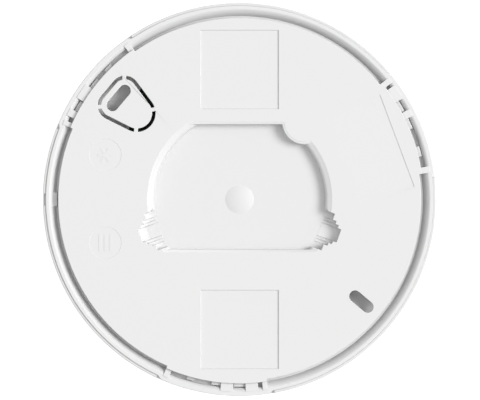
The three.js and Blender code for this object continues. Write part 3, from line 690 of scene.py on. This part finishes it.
def recess_boss(r=4.9, height=0.65, steps=16):
    ball = (r * r + height * height) / (2 * height)
    centre_z = PAN_FLOOR + height - ball
    edge = math.asin(r / ball)
    dome = [(ball * math.sin(edge * (1 - i / steps)), centre_z + ball * math.cos(edge * (1 - i / steps)))
            for i in range(steps)]
    return turned([(0, PAN_FLOOR - 1), (r, PAN_FLOOR - 1), *dome, (0, PAN_FLOOR + height)], MEDIUM)


def plate_profile(deg):
    wider = any(s["ribs"][0][0] < deg < s["ribs"][1][1] for s in STATIONS)
    edge_r = STATION_PLATE_R if wider else PLATE_R
    return [(0, PLATE_UNDER), (59.8, PLATE_UNDER), (60.6, LIP_UNDER), (edge_r, LIP_UNDER),
            (edge_r, PLATE_TOP), (0, PLATE_TOP)]


def bracket():
    ends = [deg for s in STATIONS for deg in (s["ribs"][0][0], s["ribs"][1][1])]
    plate = turned(plate_profile, extra=[deg + step for deg in ends for step in (-0.02, 0.02)])
    shell = prism(recess_outline(-PAN_SKIN - 3.6, -PAN_SKIN, -PAN_SKIN), PAN_FLOOR - 1.6, PLATE_UNDER + 0.3)
    hooks = []
    for station in STATIONS:
        start, end = station["hook"]
        hooks.append(sector(59.05, 60.1, (start + 0.05, end - 0.05), HOOK_UNDER + 0.1, PLATE_UNDER + 0.3))
        hooks.append(soften(sector(59, TOOTH_OUT_R, station["hook"], HOOK_UNDER, TOOTH_TOP), 0.12))
    join(plate, [shell, *hooks])
    cut(plate, recess_cutters())
    cut(plate, [slot_cutter(SLOT_A_DEG, SLOT_A_R, SLOT_A_LENGTH, True),
                slot_cutter(320, 53.2, 9.35, False), tab_slit_cutter()])
    soften(plate)
    shallow_cuts = [
        shallow(rectangle((-13.15, 30.3), (13.15, 56.8)), 0.4, 0.5),
        shallow(rectangle((-13.15, -56.8), (13.15, -30.3)), 0.4, 0.5),
        label_wedge(),
        mark_cutter((-45, 14.9), [(-2.6, 2.6, -0.4, 0.4, turn) for turn in (0, 60, 120)]),
        mark_cutter((-45, -14.5), [(-2.8, 2.8, y - 0.4, y + 0.4, 90) for y in (-1.8, 0, 1.8)]),
    ]
    cut(plate, shallow_cuts)
    join(plate, [recess_boss()])
    return smooth(clean(plate, 0.001))


# ---- Rear case ----
def bulge_r(deg):
    """The rim's outer radius, which swells round each station."""
    for station in STATIONS:
        start, end = station["ribs"][0][0], station["ribs"][1][1]
        outside = max(start - deg, deg - end)
        if outside < BULGE_TAPER_DEG:
            return BULGE_R - (BULGE_R - RIM_OUT_R) * max(0, outside) / BULGE_TAPER_DEG
    return RIM_OUT_R


def station_spans():
    """From the middle of each station's first rib to the middle of its last."""
    return [(sum(s["ribs"][0]) / 2, sum(s["ribs"][1]) / 2) for s in STATIONS]


def in_station(deg, margin=0.0):
    return any(start - margin < deg < end + margin for start, end in station_spans())


def rim_profile(deg):
    inside = in_station(deg)
    slope = STATION_SLOPE if inside else GROOVE_SLOPE
    shelf = STATION_FLOOR if inside else SHELF_TOP
    out_r = bulge_r(deg)
    return [(0, FLOOR_UNDER), (RIM_OUT_R, FLOOR_UNDER, 0.3), (RIM_OUT_R, BULGE_Z - 0.1), (out_r, BULGE_Z),
            (out_r, RIM_TOP, 0.2), *slope, (slope[-1][0] - 0.01, shelf), (SHELF_IN_R, shelf),
            (SHELF_IN_R, FLOOR_TOP), (0, FLOOR_TOP)]


def station_parts(station):
    embed = STATION_SLOPE[0][0] + 0.05
    root = STATION_FLOOR - 0.5
    ribs = [sector(LEDGE_IN_R, embed, degs, root, LEDGE_TOP) for degs in station["ribs"]]
    teeth = [sector(TOOTH_IN_R, TOOTH_OUT_R, degs, root, TOOTH_TOP) for degs in station["teeth"]]
    ledges = [sector(LEDGE_IN_R, embed, degs, LEDGE_UNDER, LEDGE_TOP - 0.01) for degs in station["ledges"]]
    return [soften(part, 0.12) for part in (*ribs, *teeth, *ledges)]


def rear_case():
    extra = []
    for (start, end), station in zip(station_spans(), STATIONS):
        first, last = station["ribs"][0][0], station["ribs"][1][1]
        extra += [first - BULGE_TAPER_DEG, first, last, last + BULGE_TAPER_DEG]
        extra += [start - 0.02, start + 0.02, end - 0.02, end + 0.02]
    tray = turned(rim_profile, FINE, extra=extra)
    index_block = soften(sector(TOOTH_IN_R, 62.7, (177.8, 182.1), SHELF_TOP - 0.5, SHELF_TOP + 1.2), 0.12)
    join(tray, [index_block, *(part for s in STATIONS for part in station_parts(s))])
    well = prism([(-38.7, 18.6), (-24.4, 18.6), (-24.4, 43), (-31.7, 43)], FLOOR_UNDER - 1, ABOVE)
    holes = []
    for deg in CASE_SCREW_DEGS:
        hole = turned([(0, FLOOR_UNDER - 1), (1.5, FLOOR_UNDER - 1), (1.5, FLOOR_TOP - 1.4),
                       (2.9, FLOOR_TOP - 0.2), (2.9, FLOOR_TOP + 1), (0, FLOOR_TOP + 1)], SMALL)
        centre = polar(deg, CASE_SCREW_R)
        holes.append(moved(hole, centre.x, centre.y))
    cut(tray, [well, *holes])
    return smooth(tray)


# ---- Front cover, cap and button ----
def quarter_round(out_r, in_r, z0, z1, steps=20):
    """A quarter-ellipse shoulder from a flat deck up to an upright wall."""
    return [(in_r + (out_r - in_r) * math.sin(a), z1 - (z1 - z0) * math.cos(a))
            for a in (math.pi / 2 * i / steps for i in range(steps + 1))]


def cover_profile(deg):
    lip_r = RIM_OUT_R + 0.06
    wall_r = OUTER_R - 1.7
    top = STATION_COVER_TOP if in_station(deg, 2.5) else LIP_TOP
    return [
        (26, DECK_UNDER, 0.3),
        *quarter_round(OUTER_R, CAP_R + 1, DECK_UNDER, WAIST_Z),
        (OUTER_R, top, 0.35),
        (lip_r, top, 0.04),
        (lip_r, FLOOR_UNDER - 0.3),
        (wall_r, FLOOR_UNDER - 0.3),
        *reversed(quarter_round(wall_r, CAP_R + 1, DECK_TOP, WAIST_Z)),
        (26, DECK_TOP, 0.3),
    ]


def front_cover():
    extra = [deg + turn for span in station_spans() for deg, side in zip(span, (-2.5, 2.5))
             for turn in (side - 0.02, side + 0.02)]
    shell = turned(cover_profile, FINE, extra=extra)
    posts = []
    bores = []
    for degs, r, post_r, bore_r, top in (
        (CASE_SCREW_DEGS, CASE_SCREW_R, 3.1, 1.5, FLOOR_UNDER - 0.3),
        (BOARD_SCREW_DEGS, BOARD_SCREW_R, 2.6, 1.2, 17.2),
    ):
        for deg in degs:
            centre = polar(deg, r)
            posts.append(prism(circle(centre, post_r), DECK_TOP - 0.5, top))
            bores.append(prism(circle(centre, bore_r), top - 7, top + 1))
    slots = [bar(deg, 42.2, 45.4, 3.6, DECK_UNDER - 1, DECK_TOP + 1) for deg in SNAP_DEGS]
    notch = sector(RIM_OUT_R - 0.2, OUTER_R + 1, (178.3, 181.7), LIP_TOP - 3, LIP_TOP + 1)
    vents = [bar(-45, -8, 8, 0.9, DECK_UNDER - 1, DECK_TOP + 1, Vector((30.4, 30.4)) + polar(45, 4 * k))
             for k in (-2, -1, 0, 1, 2)]
    join(shell, posts)
    cut(shell, [*bores, *slots, notch, *vents])
    soften(shell, 0.12, 2, 70)
    return smooth(shell)


def front_cap():
    hole = RING_HIGH.x - 1.5 + 0.3
    shell = turned([
        (hole, 0, 0.25),
        *quarter_round(CAP_R, 52, 0, 3),
        (CAP_R, 3.6, 0.25),
        (CAP_R - 1.6, 3.6, 0.25),
        (52, 1.8),
        (hole, 1.8),
    ])
    legs = []
    for deg in SNAP_DEGS:
        legs.append(bar(deg, 43.2, 44.8, 3, 1.3, 9.7))
        legs.append(bar(deg, 44, 45.3, 3, 1.3, 6.7))
    posts = [prism(circle(polar(deg, 14.6), 0.9), 1.3, 5.6) for deg in (30, 150, 270)]
    join(shell, [*legs, *posts])
    return smooth(shell)


def test_button():
    face = BUTTON_LOW.z
    wall_r = 8.6
    ridges = [(r, face + (0.14 if i % 2 else 0.0)) for i, r in enumerate((6.2, 6.5, 6.8, 7.1, 7.4, 7.7))]
    body = turned([
        (0, face + 0.3), (2, face + 0.28), (4, face + 0.2), (5.6, face + 0.06), *ridges,
        (10, face, 0.45), (10, 3.3), (BUTTON_HIGH.x, 3.3, 0.15), (BUTTON_HIGH.x, 3.9, 0.15),
        (wall_r, 3.9, 0.15), (wall_r, 1.8, 0.3), (0, 1.8),
    ], MEDIUM * 2)
    join(body, [prism(circle((0, 0), 1.4), 1.5, 3.5)])
    return smooth(body)


def light_ring():
    z = RING_LOW.z
    return smooth(turned([(10.4, z, 0.25), (12, z, 0.25), (12, 2.1, 0.1), (13.5, 2.1, 0.15), (13.5, 3, 0.15),
                          (10.4, 3, 0.15)], MEDIUM * 2))


# ---- Repeated pieces made by Geometry Nodes ----
class GeometryTree:
    """A small geometry node tree with named inputs, ending in Realize Instances and Set Material."""

    def __init__(self, name, sizes):
        self.tree = bpy.data.node_groups.new(name, "GeometryNodeTree")
        self.tree.interface.new_socket("Geometry", in_out="INPUT", socket_type="NodeSocketGeometry")
        self.tree.interface.new_socket("Geometry", in_out="OUTPUT", socket_type="NodeSocketGeometry")
        self.sizes = sizes
        self.sockets = {}
        for key, value in sizes.items():
            kind = "NodeSocketInt" if isinstance(value, int) else "NodeSocketFloat"
            socket = self.tree.interface.new_socket(key, in_out="INPUT", socket_type=kind)
            self.sockets[key] = socket.identifier
        self.inputs = self.tree.nodes.new("NodeGroupInput")

    def size(self, key):
        return self.inputs.outputs[key]

    def node(self, kind, settings=None, inputs=None):
        node = self.tree.nodes.new(kind)
        for key, value in (settings or {}).items():
            setattr(node, key, value)
        for key, value in (inputs or {}).items():
            if isinstance(value, bpy.types.NodeSocket):
                self.tree.links.new(value, node.inputs[key])
            else:
                node.inputs[key].default_value = value
        return node

    def maths(self, operation, first, second=0.0):
        return self.node("ShaderNodeMath", {"operation": operation}, {0: first, 1: second}).outputs[0]

    def vector(self, x=0.0, y=0.0, z=0.0):
        return self.node("ShaderNodeCombineXYZ", None, {"X": x, "Y": y, "Z": z}).outputs[0]

    def apply(self, piece, geometry, material):
        """Ends the tree, runs it on a piece, and leaves the plain mesh."""
        real = self.node("GeometryNodeRealizeInstances", None, {"Geometry": geometry}).outputs[0]
        painted = self.node("GeometryNodeSetMaterial", None, {"Geometry": real, "Material": material})
        output = self.tree.nodes.new("NodeGroupOutput")
        self.tree.links.new(painted.outputs[0], output.inputs[0])
        modifier = piece.modifiers.new(self.tree.name, "NODES")
        modifier.node_group = self.tree
        for key, identifier in self.sockets.items():
            modifier[identifier] = self.sizes[key]
        return baked(piece)


def grille():
    """The smoke inlet's washer with its ring of radial vanes."""
    top = GRILLE_HIGH.z
    out_r = GRILLE_HIGH.x
    in_r = 49.5
    washer = turned([(in_r, top - 0.6), (out_r, top - 0.6), (out_r, top), (in_r, top)])
    tree = GeometryTree("inlet_vanes", {
        "Vanes": 120, "Vane thickness": 0.7, "Vane length": out_r - in_r - 1.2,
        "Vane height": top - 0.5 - GRILLE_LOW.z, "Middle radius": (out_r + in_r) / 2})
    ring = tree.node("GeometryNodeMeshCircle", None,
                     {"Vertices": tree.size("Vanes"), "Radius": tree.size("Middle radius")})
    size = tree.vector(tree.size("Vane length"), tree.size("Vane thickness"), tree.size("Vane height"))
    vane = tree.node("GeometryNodeMeshCube", None, {"Size": size})
    index = tree.node("GeometryNodeInputIndex").outputs[0]
    turn = tree.maths("DIVIDE", tree.maths("MULTIPLY", index, 2 * math.pi), tree.size("Vanes"))
    euler = tree.node("FunctionNodeEulerToRotation", None, {0: tree.vector(z=turn)})
    vanes = tree.node("GeometryNodeInstanceOnPoints", None, {
        "Points": ring.outputs["Mesh"], "Instance": vane.outputs["Mesh"], "Rotation": euler.outputs[0]})
    lifted = tree.node("GeometryNodeTransform", None, {
        "Geometry": vanes.outputs[0], "Translation": (0, 0, (GRILLE_LOW.z + top - 0.5) / 2)})
    both = tree.node("GeometryNodeJoinGeometry")
    tree.tree.links.new(tree.inputs.outputs["Geometry"], both.inputs[0])
    tree.tree.links.new(lifted.outputs[0], both.inputs[0])
    piece = tree.apply(washer, both.outputs[0], WHITE)
    return smooth(soften(piece, 0.12, 2, 60))


def spring(name, coil_r, wire_r, z0, z1, turns):
    """A closed-end compression spring."""
    piece = new_object(name, bpy.data.meshes.new(name))
    tree = GeometryTree(name, {"Coil radius": coil_r, "Wire radius": wire_r, "Height": z1 - z0 - 2 * wire_r,
                               "Turns": float(turns)})
    helix = tree.node("GeometryNodeCurveSpiral", None, {
        "Resolution": 28, "Rotations": tree.size("Turns"), "Start Radius": tree.size("Coil radius"),
        "End Radius": tree.size("Coil radius"), "Height": tree.size("Height")})
    wire = tree.node("GeometryNodeCurvePrimitiveCircle", None, {
        "Resolution": 10, "Radius": tree.size("Wire radius")})
    swept = tree.node("GeometryNodeCurveToMesh", None, {
        "Curve": helix.outputs[0], "Profile Curve": wire.outputs[0], "Fill Caps": True})
    raised = tree.node("GeometryNodeTransform", None, {
        "Geometry": swept.outputs[0], "Translation": (0, 0, z0 + wire_r)})
    return smooth(tree.apply(piece, raised.outputs[0], FINISHES["spring_steel"]), 60)


def insect_screen():
    """Fine woven wire round the smoke chamber: hoops and uprights."""
    r = SCREEN_HIGH.x - 0.2
    low, high = SCREEN_LOW.z + 0.12, SCREEN_HIGH.z - 0.12
    piece = new_object("insect_screen", bpy.data.meshes.new("insect_screen"))
    tree = GeometryTree("wire_screen", {"Hoops": 11, "Uprights": 168, "Screen radius": r, "Wire radius": 0.1,
                                        "Height": high - low})
    hoop = tree.node("GeometryNodeCurvePrimitiveCircle", None, {
        "Resolution": 120, "Radius": tree.size("Screen radius")})
    wire = tree.node("GeometryNodeCurvePrimitiveCircle", None, {
        "Resolution": 5, "Radius": tree.size("Wire radius")})
    hoop_mesh = tree.node("GeometryNodeCurveToMesh", None, {
        "Curve": hoop.outputs[0], "Profile Curve": wire.outputs[0]})
    spacing = tree.maths("DIVIDE", tree.size("Height"), tree.maths("SUBTRACT", tree.size("Hoops"), 1))
    stack = tree.node("GeometryNodeMeshLine", None, {
        "Count": tree.size("Hoops"), "Start Location": (0, 0, low), "Offset": tree.vector(z=spacing)})
    hoops = tree.node("GeometryNodeInstanceOnPoints", None, {
        "Points": stack.outputs[0], "Instance": hoop_mesh.outputs[0]})
    upright = tree.node("GeometryNodeMeshCylinder", {"fill_type": "NGON"}, {
        "Vertices": 5, "Radius": tree.size("Wire radius"), "Depth": tree.size("Height")})
    ring = tree.node("GeometryNodeMeshCircle", None, {
        "Vertices": tree.size("Uprights"), "Radius": tree.size("Screen radius")})
    uprights = tree.node("GeometryNodeInstanceOnPoints", None, {
        "Points": ring.outputs[0], "Instance": upright.outputs[0]})
    raised = tree.node("GeometryNodeTransform", None, {
        "Geometry": uprights.outputs[0], "Translation": (0, 0, (low + high) / 2)})
    both = tree.node("GeometryNodeJoinGeometry")
    tree.tree.links.new(hoops.outputs[0], both.inputs[0])
    tree.tree.links.new(raised.outputs[0], both.inputs[0])
    return smooth(tree.apply(piece, both.outputs[0], FINISHES["screen_steel"]), 60)


# ---- Assembly ----
def build_detector():
    finished(bracket(), "bracket_plate", "bracket", "white_plastic", "mounting_bracket")
    finished(rear_case(), "rear_case_shell", "housing", "white_plastic", "rear_case")
    finished(front_cover(), "front_cover_shell", "housing", "satin_white", "front_cover")
    finished(front_cap(), "front_cap_shell", "housing", "satin_white", "front_cap")
    finished(grille(), "inlet_grille_vanes", "housing", "white_plastic", "inlet_grille")
    finished(test_button(), "test_button_cap", "button", "satin_white", "test_button")
    finished(light_ring(), "light_ring_guide", "housing", "clear_plastic", "light_ring")
    finished(insect_screen(), "insect_screen_wire", "housing", "screen_steel", "insect_screen")
    low, high = (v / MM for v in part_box("button_spring"))
    coil = finished(spring("button_coil", 5.4, 0.3, low.z, high.z, 3), "button_spring_coil", "housing",
                    "spring_steel", "button_spring")
    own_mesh(coil)
    low, high = (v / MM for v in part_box("tamper_spring"))
    centre = (low + high) / 2
    coil = moved(spring("tamper_coil", 2.0, 0.2, low.z, high.z, 4), centre.x, centre.y)
    coil = finished(coil, "tamper_spring_coil", "housing", "spring_steel", "tamper_spring")
    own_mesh(coil)


def paint_carried_nodes():
    slots = {part["node"]: part["material_slot"] for part in frame["record"]["subparts"]}
    for name, node in frame["nodes"].items():
        node.data.materials.clear()
        node.data.materials.append(FINISHES[slots[name]])


# ---- Stage ----
VIEW_WIDTH = 0.1608  # what the picture's width spans at the back of the bracket
CAMERA_LENS = 300
SENSOR = 36


def add_camera():
    camera = bpy.data.objects.new("camera", bpy.data.cameras.new("camera"))
    camera.data.lens = CAMERA_LENS
    camera.data.sensor_width = SENSOR
    distance = VIEW_WIDTH * CAMERA_LENS / SENSOR
    camera.location = (0.00013, -0.00017, cad_box[1].z + distance)
    camera.data.clip_end = 50
    bpy.context.scene.collection.objects.link(camera)
    bpy.context.scene.camera = camera


def add_light():
    """A soft, distant light from the right, a little from above."""
    light = bpy.data.lights.new("key", "SUN")
    light.energy = 2.85
    light.angle = math.radians(30)
    key = bpy.data.objects.new("key", light)
    azimuth, elevation = math.radians(10), math.radians(43)
    towards = Vector((math.cos(azimuth) * math.cos(elevation), math.sin(azimuth) * math.cos(elevation),
                      math.sin(elevation)))
    key.rotation_mode = "QUATERNION"
    key.rotation_quaternion = towards.to_track_quat("Z", "Y")
    bpy.context.scene.collection.objects.link(key)


def add_surroundings():
    """A thin white horizon under dimmer walls, brightest straight overhead."""
    world = bpy.data.worlds.new("studio")
    bpy.context.scene.world = world
    world.use_nodes = True
    nodes, links = world.node_tree.nodes, world.node_tree.links
    place = nodes.new("ShaderNodeTexCoord")
    split = nodes.new("ShaderNodeSeparateXYZ")
    ramp = nodes.new("ShaderNodeValToRGB")
    stops = ramp.color_ramp.elements
    stops[1].position = 1.0
    for position in (0.06, 0.1, 0.3, 0.7):
        stops.new(position)
    for stop, level in zip(stops, (1.0, 1.0, 0.6, 0.45, 0.58, 1.0)):
        stop.color = (level, level, level, 1)
    nodes["Background"].inputs["Strength"].default_value = 1.12
    links.new(place.outputs["Generated"], split.inputs[0])
    links.new(split.outputs["Z"], ramp.inputs["Fac"])
    links.new(ramp.outputs["Color"], nodes["Background"].inputs["Color"])


def add_floor():
    bm = bmesh.new()
    bmesh.ops.create_circle(bm, cap_ends=True, segments=64, radius=20)
    mesh = bpy.data.meshes.new("floor")
    bm.to_mesh(mesh)
    bm.free()
    floor = new_object("floor", mesh)
    floor.location.z = cad_box[0].z - 0.0002
    shader = Shader("pale_floor")
    shader.surface.inputs["Emission Strength"].default_value = 0.72
    shader.surface.inputs["Specular IOR Level"].default_value = 0.0
    grain = shader.noise(0.05)
    floor.data.materials.append(shader.finish(
        Base_Color=shader.blend(grain, (0.5, 0.5, 0.5), (0.52, 0.52, 0.52)), Roughness=1.0,
        Emission_Color=(1, 1, 1, 1)))


build_detector()
paint_carried_nodes()
add_camera()
add_light()
add_surroundings()
add_floor()
bpy.context.scene.view_settings.view_transform = "Standard"
